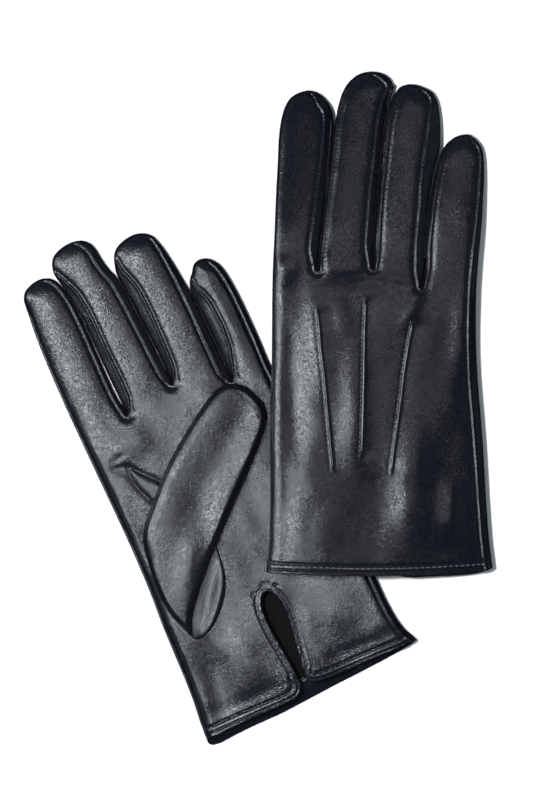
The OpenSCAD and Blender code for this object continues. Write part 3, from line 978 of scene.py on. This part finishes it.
def floor_material():
    """Matt white paper."""
    m = Nodes("white_paper")
    m.link(m.ramp(m.noise(300, 3), [(0.2, (0.93, 0.93, 0.935, 1)), (0.8, (0.95, 0.95, 0.955, 1))]),
           m.shader.inputs["Base Color"])
    m.set(Roughness=0.9, Specular_IOR_Level=0.1)
    return m.material


LEATHER = leather_material("black_nappa", 0.0034, 0.27, 0.8)
BINDING = leather_material("black_nappa_binding", 0.0034, 0.27, 0.2)
GUSSET_LEATHER = leather_material("black_nappa_gusset", 0.0036, 0.3, 0.8)
KNIT = knit_material("black_knit")
THREAD = thread_material("black_thread_painted_glints")


# ---- one glove ----

FOURCHETTES = {
    (INDEX, SIDE_RIGHT): "index_fourchette", (MIDDLE, SIDE_LEFT): "middle_fourchette_a",
    (MIDDLE, SIDE_RIGHT): "middle_fourchette_b", (RING, SIDE_LEFT): "ring_fourchette_a",
    (RING, SIDE_RIGHT): "ring_fourchette_b", (LITTLE, SIDE_LEFT): "little_fourchette"}
SEAM_LEAST = 0.8      # a fourchette ends where its seam comes this close to the outline
RIMS = {              # radii of the folded edges, on each glove's upper side and on the lower ones
    "right": {"outer": 5.5, "left": 3.4, "right": 6.8, "tip": 8.0},
    "left": {"outer": 5.0, "left": 4.4, "right": 5.4, "tip": 8.0},
    "low": {"outer": 6.0, "left": 5.0, "right": 5.0, "tip": 7.5}}


def fourchette_cuts(outline):
    """The seam lines that part the fourchettes from the stalls, with their ends closed."""
    cuts = []
    for k, (a, b) in enumerate(outline.spans()):
        top = a + int(np.argmax(outline.p[a:b, 1]))
        for lo, hi, real in ((a, top, k != INDEX), (top, b, k != LITTLE)):
            if not real:
                continue
            i = np.arange(lo, hi)
            i = i[outline.inset[i] >= SEAM_LEAST]
            i = i[::3] if len(i) > 6 else i
            line = outline.p[i] + outline.normal[i] * outline.inset[i][:, None]
            tip_end = i[0] if lo == top else i[-1]
            foot = (outline.p[tip_end] + outline.normal[tip_end] * 0.02)[None]
            cuts.append(np.vstack([foot, line] if lo == top else [line, foot]))
    return cuts


def label_faces(sheet, centre, split_y):
    """The piece that each triangle belongs to."""
    outline = sheet.outline
    d, _, inset, finger, side = outline.nearest(centre)
    tips = [outline.p[a + np.argmax(outline.p[a:b, 1]), 0] for a, b in outline.spans()]
    right_half = centre[:, 0] > np.array(tips)[finger]
    side = np.where(side == SIDE_TIP, np.where(right_half, SIDE_RIGHT, SIDE_LEFT), side)
    labels = []
    edge, vent = sheet.to_edge(centre)
    for i in range(len(centre)):
        strip = None
        if inset[i] >= SEAM_LEAST and d[i] < inset[i]:
            strip = FOURCHETTES.get((int(finger[i]), int(side[i])))
        if strip:
            labels.append(strip)
        elif centre[i, 1] > split_y:
            labels.append(FINGER_NAMES[finger[i]] + "_leather")
        elif vent[i] and edge[i] < BINDING_W:
            labels.append("vent_binding")
        elif edge[i] < HEM and not vent[i]:
            labels.append("cuff_hem")
        else:
            labels.append("hand_leather")
    return np.array(labels)


def build_shell(glove):
    """Both sides of a glove as one welded mesh, with a label on every triangle."""
    left = glove.palm_up
    fingers = LEFT_FINGERS if left else RIGHT_FINGERS
    visible = LEFT_PALM_SEAMS if left else RIGHT_BACK_SEAMS
    folds = LEFT_PALM_FOLDS if left else RIGHT_BACK_FOLDS
    split_y = SPLIT_Y[glove.side]
    top_outline = glove_outline(fingers, visible, RIMS[glove.side], glove.back_hem)
    low_outline = glove_outline(fingers, HIDDEN_SEAMS, RIMS["low"], glove.back_hem)
    top = Sheet(glove, top_outline, 1, folds, 1.0, () if left else BACK_POINTS, 3.1)
    low = Sheet(glove, low_outline, -1, NO_FOLDS, 0.5, BACK_POINTS if left else (), 7.7)
    plans = [(sheet, plan_of(sheet, split_y)) for sheet in (top, low)]
    labels = [label_faces(sheet, co[tri].mean(1), split_y) for sheet, (co, tri) in plans]
    co, faces, good = lifted(glove, plans)
    return top, low, co, faces, np.concatenate(labels)[good], split_y


def plan_of(sheet, split_y, fine=1.0, lining=False):
    """The plan mesh of one side, with its cuts and feature lines."""
    xs = np.arange(-62, 62.5, 0.8 * fine)
    cuts, extra = [np.column_stack([xs, np.full(len(xs), split_y)])], []
    if lining:
        cuts += edge_cuts(sheet, LINING_FROM, LINING_FROM)
    else:
        cuts += fourchette_cuts(sheet.outline) + edge_cuts(sheet, HEM, BINDING_W)
        extra += [offset_line(sheet.edge, k)[3:-3] for k in EDGE_STEPS]
        for line in sheet.points:
            fine_line = smooth_curve(line, 0.9)[0]
            extra += [offset_line(fine_line, k) for k in POINT_STEPS]
        if sheet.is_palm:
            quirk = smooth_curve(QUIRK, 1.0, True)[0]
            extra += [offset_line(quirk, k) for k in QUIRK_STEPS]
    boundary = np.vstack([sheet.outline.p, sheet.edge[::-1]])
    inner = [q[inside(q, boundary)] for q in extra]
    return sheet_plan(sheet, inner, cuts, fine)


def edge_cuts(sheet, hem, vent):
    """The lines at the hem's depth and the binding's, inside the free edge."""
    if not sheet.is_palm:
        return [offset_line(sheet.edge, hem)[4:-4]]
    a, b = sheet.vent_ends()
    return [offset_line(sheet.edge[:a - 10], hem)[4:], offset_line(sheet.edge[b + 10:], hem)[:-4],
            offset_line(sheet.edge[a:b], vent)]


def normals_at(sheet, q):
    """Unit normals of a sheet's surface at plan points, in the scene's frame."""
    step = 0.25
    z = [sheet.height(q + np.array(d)) for d in ((step, 0), (-step, 0), (0, step), (0, -step))]
    slope = np.stack([(z[0] - z[1]), (z[2] - z[3])], 1) / (2 * step)
    slope = sheet.glove.rotated(slope)
    n = np.column_stack([-slope, np.ones(len(q))]) * sheet.up
    return n / np.linalg.norm(n, axis=1)[:, None]


def on_sheet(sheet, line, lift=0.0):
    """Plan points lifted on to a sheet, with the surface's normals there."""
    n = normals_at(sheet, line)
    return sheet.glove.world(line, sheet.height(line)) + n * lift * MM, n


def edge_roll(sheet, line, depth):
    """The turned edge: the skin rolls under at the free edge and runs back inside."""
    inward = left_normals(line)
    glove = sheet.glove
    p0 = glove.world(line, sheet.height(line))
    p1 = glove.world(line + inward, sheet.height(line + inward))
    into = p1 - p0
    into /= np.linalg.norm(into, axis=1)[:, None]
    n = np.cross(np.gradient(p0, axis=0), into)
    n /= np.linalg.norm(n, axis=1)[:, None]
    n *= np.sign((n[:, 2] * sheet.up).mean())
    rows = []
    for a in np.radians([0, 25, 50, 75, 100, 125, 150, 180]):
        rows.append(p0 - n * ROLL * (1 - math.cos(a)) * MM - into * ROLL * math.sin(a) * MM)
    for k in np.array([0.15, 0.4, 0.7, 1.0]) * depth:
        q = sheet.outline.pulled_in(line + inward * k)
        rows.append(glove.world(q, sheet.height(q)) - n * 2 * ROLL * MM)
    return np.vstack(rows), grid_faces(len(rows), len(line), sheet.up > 0)


def edge_spans(sheet):
    """The hem's stretches of the free edge, and the vent's."""
    if not sheet.is_palm:
        return [sheet.edge], []
    a, b = sheet.vent_ends()
    return [sheet.edge[:a + 1], sheet.edge[b:]], [sheet.edge[a:b + 1]]


TUCK_SUNK = 0.12      # the tucks' edges lie this far under the leather
TUCK_PROFILE = ((-0.72, -TUCK_SUNK), (-0.5, 0.3), (-0.25, 0.62), (0, 0.72), (0.25, 0.62),
                (0.5, 0.3), (0.72, -TUCK_SUNK))       # offset and height across a tuck


def back_point_mesh(sheet):
    """The raised tucks on the back."""
    meshes = []
    for line in sheet.points:
        fine, s, _ = smooth_curve(line, 0.8)
        taper = ease(s / 3) * ease((s[-1] - s) / 3)
        columns = []
        for off, lift in TUCK_PROFILE:
            p, n = on_sheet(sheet, offset_line(fine, off))
            columns.append(p + n * ((lift + TUCK_SUNK) * taper[:, None] - TUCK_SUNK) * MM)
        grid = np.stack(columns, 1)
        meshes.append((grid.reshape(-1, 3), grid_faces(*grid.shape[:2], sheet.up > 0)))
    return joined(meshes)


HEM_TURNING, VENT_TURNING = 6.5, 2.4       # how far the turned edges run back inside
HEM_LIFT, VENT_LIFT, POINT_LIFT = 0.03, -0.04, -0.02      # the threads' height over the skin
# Rows of stitches: pitch, length and radius of a stitch.
HEM_OUTSIDE = (2.9 * MM, 2.1 * MM, 0.3 * MM)
HEM_INSIDE = (2.9 * MM, 2.1 * MM, 0.25 * MM)
VENT_ROW = (2.4 * MM, 1.8 * MM, 0.22 * MM)
POINT_ROW = (2.2 * MM, 1.7 * MM, 0.23 * MM)


def build_glove(side):
    """Everything of one glove; the hand's pieces go under the glove's body."""
    glove = Glove(side)
    body = side + "_glove"
    top, low, co, faces, labels, split_y = build_shell(glove)
    normals = vertex_normals(co, faces)
    palm, back = (top, low) if glove.palm_up else (low, top)
    pieces = {}
    for label in sorted(set(labels)):
        pieces[label] = make_piece(f"{side}_{label}_skin", co, faces[labels == label],
                                   BINDING if label in ("vent_binding", "cuff_hem") else LEATHER,
                                   normals)
    rolls, vent_rolls = [], []
    for sheet in (top, low):
        hems, vents = edge_spans(sheet)
        rolls += [edge_roll(sheet, line, HEM_TURNING) for line in hems]
        vent_rolls += [edge_roll(sheet, line, VENT_TURNING) for line in vents]
    pieces["hem_roll"] = make_piece(f"{side}_hem_turning", *joined(rolls), LEATHER)
    pieces["vent_roll"] = make_piece(f"{side}_vent_turning", *joined(vent_rolls), BINDING)
    pieces["back_points"] = make_piece(f"{side}_raised_points", *back_point_mesh(back), BINDING)
    rows, vent_rows = [], []
    for sheet in (top, low):
        hems, vents = edge_spans(sheet)
        for line in hems:
            q = offset_line(line, HEM - 0.3)
            q = q[3:-4] if sheet.is_palm else q[3:-3]
            rows.append(stitch_row(*on_sheet(sheet, q, HEM_LIFT), *HEM_OUTSIDE))
            place, n = on_sheet(sheet, sheet.outline.pulled_in(q), -2 * ROLL - HEM_LIFT)
            rows.append(stitch_row(place, -n, *HEM_INSIDE))
        for line in vents:
            place, n = on_sheet(sheet, offset_line(line, VENT_TURNING), VENT_LIFT)
            vent_rows.append(stitch_row(place, n, *VENT_ROW))
    pieces["hem_stitches"] = make_piece(f"{side}_hem_thread", *joined(rows), THREAD)
    vent_thread = make_piece(f"{side}_vent_thread", *joined(vent_rows), THREAD)
    rows = []
    for line in back.points:
        q = offset_line(smooth_curve(line, 1.0)[0], POINT_SEAM)
        rows.append(stitch_row(*on_sheet(back, q, POINT_LIFT), *POINT_ROW))
    point_thread = make_piece(f"{side}_point_thread", *joined(rows), THREAD)
    for label in ("hand_leather", "cuff_hem", "vent_binding", "back_points", "hem_stitches"):
        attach(pieces[label], body)
        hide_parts(f"{side}_{label}")
    for label in ("hem_roll", "vent_roll"):
        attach(pieces[label], body)
    for thread in (point_thread, vent_thread):
        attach(thread, body)
    for k, name in enumerate(FINGER_NAMES):
        for label in [f"{name}_leather"] + [
                FOURCHETTES.get((k, s)) for s in (SIDE_LEFT, SIDE_RIGHT)]:
            if label in pieces:
                finger_blend(glove, pieces[label], k)
                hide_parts(f"{side}_{label}")
    build_linings(glove, top, low, split_y, body)
    build_thumb(glove, palm, body)


def finger_blend(glove, piece, k):
    """Bakes a finger's piece's transform; the ends of its knuckle are worked out but not used."""
    start, end = KNUCKLE_Y[glove.side]
    x = KNUCKLE_X[k]
    z = float(glove.mid(np.array([[x, start]], float))[0])
    glove.point(x, start, z)
    glove.point(x, end, z)
    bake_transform(piece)


def build_linings(glove, top, low, split_y, body):
    """The knitted lining: the shell again, coarser and a little way inside it."""
    side = glove.side
    plans, labels = [], []
    for sheet in (top, low):
        co, tri = plan_of(sheet, split_y, LINING_COARSE, lining=True)
        tri = tri[sheet.to_edge(co[tri].mean(1))[0] > LINING_FROM]
        centre = co[tri].mean(1)
        labels.append(np.where(centre[:, 1] > split_y, sheet.outline.nearest(centre)[3], -1))
        plans.append((sheet, (co, tri)))
    co, faces, good = lifted(glove, plans)
    labels = np.concatenate(labels)[good]
    normals = vertex_normals(co, faces)
    inner = co - normals * LINING_IN * MM
    hand = make_piece(f"{side}_hand_knit", inner, faces[labels == -1], KNIT, normals)
    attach(hand, body)
    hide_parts(f"{side}_hand_lining")
    for k, name in enumerate(FINGER_NAMES):
        piece = make_piece(f"{side}_{name}_knit", inner, faces[labels == k], KNIT, normals)
        finger_blend(glove, piece, k)
        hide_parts(f"{side}_{name}_lining")


# ---- the thumb ----

def thumb_frame(q):
    """How far each point is along the thumb from its foot, and how far across it."""
    a = math.radians(THUMB_TURN)
    x, y = q[:, 0] - THUMB_FOOT[0], q[:, 1] - THUMB_FOOT[1]
    return x * math.sin(a) + y * math.cos(a), x * math.cos(a) - y * math.sin(a)


class ThumbSheet:
    """One side of the folded thumb, as a height over the palm."""

    def __init__(self, glove, outline, far):
        self.glove, self.outline, self.far = glove, outline, far
        self.way = 1 if glove.palm_up else -1
        self.up = self.way if far else -self.way

    def height(self, q):
        """The side away from the palm is a rounded pad with a dish and a raised lip."""
        d, radius, inset, _, _ = self.outline.nearest(q)
        along, across = thumb_frame(q)
        # the sides meet at the base's height, which rises off the palm beyond the foot
        base = THUMB_GAP + 3.9 * ease((along - 12) / 40)
        top = THUMB_GAP + THUMB_T - 0.6 * (1 - ease(along / 30))
        past = np.maximum(d - inset, 0)
        edge = rim(past / radius)
        # across the thumb from its middle line: a dish, a ridge on its lower right, and a
        # swelling near the foot
        v = across - np.interp(along, [20, 75, 110], [-11, -13, -3])
        dish = 0.6 * bell(v, 16, 7) - 1.1 * bell(v, 3, 9)
        dish = dish * ease((along - 40) / 25) + 1.1 * np.exp(
            -((v - 2) / 5) ** 2 - ((along - 36) / 14) ** 2)
        if self.far:
            crown = 0.15 * (1 - np.clip(past / 12, 0, 1)) ** 2
            seam = 0.4 * bell(past, 1.7, 0.4) - 0.3 * bell(past, 2.7, 0.5)
            wave = np.array([noise.noise((x * 0.06, y * 0.06, 5.5)) for x, y in q])
            lift = base + (top - crown - base) * edge + 0.5 * bead(d, inset) + ease(
                past / 1.5) * (seam * ease(inset / 0.6) + 0.35 * wave) + dish * ease(past / 4)
        else:
            lift = base - (base - THUMB_GAP) * edge
        return self.glove.mid(q) + self.way * (HALF + lift)


def closed_outline(points, radius, lipped=False):
    """An outline round a closed curve, run clockwise. A lipped one has a raised seam edge, and a
    rounder rim, along its upper left."""
    p = smooth_curve(points, Outline.STEP, True)[0][:-1]
    area = np.sum(p[:, 0] * np.roll(p[:, 1], -1) - np.roll(p[:, 0], -1) * p[:, 1])
    if area > 0:
        p = p[::-1]
    t = np.arange(len(p)) / len(p)
    upper_left = ease((t - 0.12) / 0.04) * ease((0.62 - t) / 0.04) * lipped
    return Outline([{"p": p, "rim": radius + 1.1 * upper_left, "inset": 0.7 * upper_left,
                     "finger": 0, "side": np.zeros(len(p), int)}], closed=True)


def pillow_plan(outline, fine, grid_step):
    """The plan mesh inside a closed outline."""
    every = max(1, int(1.1 * fine / Outline.STEP))
    boundary = outline.p[::every]
    edges = [(i, (i + 1) % len(boundary)) for i in range(len(boundary))]
    scatter = Scatter([tuple(p) for p in boundary])
    rims, seams = rims_and_seams(outline, every, SEAM_STEPS[2:])
    for q in rims + seams:
        scatter.add(q, 0.34 * fine)
    grid = grid_points(outline, boundary, boundary.min(0), boundary.max(0), grid_step, 1.2)
    scatter.add(grid, 0.72 * grid_step)
    return triangulate(scatter.points, edges, boundary)


def pillow_mesh(glove, sheets, fine=1.0, grid_step=GRID):
    """A closed mesh between two sheets over one outline."""
    plan = pillow_plan(sheets[0].outline, fine, grid_step)
    return lifted(glove, [(sheet, plan) for sheet in sheets])[:2]


class Pad:
    """A small raised gusset on the palm: its outer side, or its flat underside."""

    CLEAR = 0.02      # its height over the palm

    def __init__(self, glove, outline, high, palm, outer):
        self.outline, self.high, self.palm, self.outer = outline, high, palm, outer
        self.way = 1 if glove.palm_up else -1
        self.up = self.way if outer else -self.way

    def height(self, q):
        """The outer side starts low beside the thumb's edge and rises away from it."""
        d, radius, _, _, _ = self.outline.nearest(q)
        base = self.palm.height(q)
        if not self.outer:
            return base + self.way * self.CLEAR
        rise = 0.2 + 0.8 * ease((thumb_frame(q)[1] - 2) / 7)
        return base + self.way * (self.high * rim(d / radius) * rise + self.CLEAR)


def pad_piece(name, glove, points, radius, high, palm):
    """A gusset as a piece: its outline, its rim's radius and its height."""
    outline = closed_outline(points, radius)
    sides = [Pad(glove, outline, high, palm, outer) for outer in (True, False)]
    return make_piece(name, *pillow_mesh(glove, sides), GUSSET_LEATHER)


def build_thumb(glove, palm, body):
    """The thumb with its lining, and the gussets, which go under the glove's body."""
    side = glove.side
    outline = closed_outline(THUMB_OUTLINE, 2.9, lipped=True)
    sheets = [ThumbSheet(glove, outline, far) for far in (True, False)]
    thumb = make_piece(f"{side}_thumb_stall", *pillow_mesh(glove, sheets), LEATHER)
    coarse, coarse_faces = pillow_mesh(glove, sheets, LINING_COARSE, LINING_GRID)
    inner = coarse - vertex_normals(coarse, coarse_faces) * LINING_IN * MM
    knit = make_piece(f"{side}_thumb_knit", inner, coarse_faces, KNIT)
    gusset = pad_piece(f"{side}_thumb_gusset", glove, GUSSET, 3.4, 2.5, palm)
    quirk = pad_piece(f"{side}_quirk_leaf", glove, QUIRK, 3.0, 1.4, palm)
    z = float(glove.mid(THUMB_HINGE[None])[0]) + (1 if glove.palm_up else -1) * (
        HALF + THUMB_GAP + THUMB_T / 2)
    x, y = THUMB_HINGE
    a, b = glove.point(x, y, z), glove.point(x + THUMB_BEND, y, z)
    for piece in (thumb, knit):
        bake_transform(piece)
    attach(gusset, body)
    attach(quirk, body)
    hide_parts(f"{side}_thumb_quirk")
    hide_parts(f"{side}_thumb_leather")
    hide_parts(f"{side}_thumb_lining")


for side in ("left", "right"):
    build_glove(side)


# ---- floor, lights and camera ----

def build_floor():
    """White paper. The leather doesn't reflect it, so the gloves' side walls stay dark."""
    mesh = bpy.data.meshes.new("floor")
    size = 3.0
    mesh.from_pydata([(-size, -size, 0), (size, -size, 0), (size, size, 0), (-size, size, 0)], [],
                     [(0, 1, 2, 3)])
    mesh.materials.append(floor_material())
    floor = bpy.data.objects.new("floor", mesh)
    bpy.context.scene.collection.objects.link(floor)
    floor.location.z = -0.0002
    floor.visible_glossy = False


def area_light(name, place, size, watts, colour, gloss, diffuse):
    """A rectangular light facing the origin, that lights only gloss or only matt shading."""
    light = bpy.data.lights.new(name, "AREA")
    light.shape = "RECTANGLE"
    light.size, light.size_y = size
    light.energy, light.color = watts, colour
    obj = bpy.data.objects.new(name, light)
    obj.location = place
    obj.rotation_euler = (-Vector(place)).to_track_quat("-Z", "Y").to_euler()
    obj.visible_glossy, obj.visible_diffuse = gloss, diffuse
    bpy.context.scene.collection.objects.link(obj)


def build_lights():
    """A key and a fill for the floor and the shadow, and panels and a dim sky that only shape
    the leather's reflections."""
    cool, warm = (0.9, 0.95, 1.0), (1.0, 0.98, 0.95)
    area_light("key", (-0.22, 0.03, 1.35), (0.08, 0.08), 20, (1, 1, 1), False, True)
    area_light("fill", (0.1, -0.2, 1.6), (1.2, 1.2), 6, (0.85, 0.95, 1.0), False, True)
    area_light("panel_left", (-0.36, -0.02, 0.9), (0.22, 0.44), 9, cool, True, False)
    area_light("panel_low", (-1.25, 0.2, 0.75), (0.45, 0.45), 17, cool, True, False)
    area_light("panel_right", (0.5, 0.35, 1.3), (0.35, 0.35), 2, warm, True, False)
    world = bpy.data.worlds.new("studio")
    bpy.context.scene.world = world
    world.use_nodes = True
    tree = world.node_tree
    background = tree.nodes["Background"]
    background.inputs[0].default_value = (0.8, 0.94, 1.0, 1)
    way = tree.nodes.new("ShaderNodeSeparateXYZ")
    tree.links.new(tree.nodes.new("ShaderNodeTexCoord").outputs["Generated"], way.inputs[0])
    fade = tree.nodes.new("ShaderNodeValToRGB")
    tree.links.new(way.outputs["Z"], fade.inputs[0])
    fade.color_ramp.elements[0].color = (0, 0, 0, 1)
    fade.color_ramp.elements[1].position, fade.color_ramp.elements[1].color = 0.6, grey(0.05)
    fade.color_ramp.elements.new(0.03).color = grey(0.35)
    tree.links.new(fade.outputs[0], background.inputs[1])


def build_camera():
    """Straight down, from far enough away that the view is almost without perspective."""
    lo, hi = CAD_BOX
    height = 2.6
    view_height = 0.392
    sensor = 36
    camera = bpy.data.cameras.new("camera")
    camera.sensor_fit = "VERTICAL"
    camera.sensor_height = camera.sensor_width = sensor
    camera.lens = sensor * height / view_height
    camera.clip_end = 20
    obj = bpy.data.objects.new("camera", camera)
    centre = (lo + hi) / 2
    obj.location = (centre.x + 0.003, centre.y + 0.0018, height)
    bpy.context.scene.collection.objects.link(obj)
    bpy.context.scene.camera = obj


build_floor()
build_lights()
build_camera()
bpy.context.scene.view_settings.view_transform = "Standard"
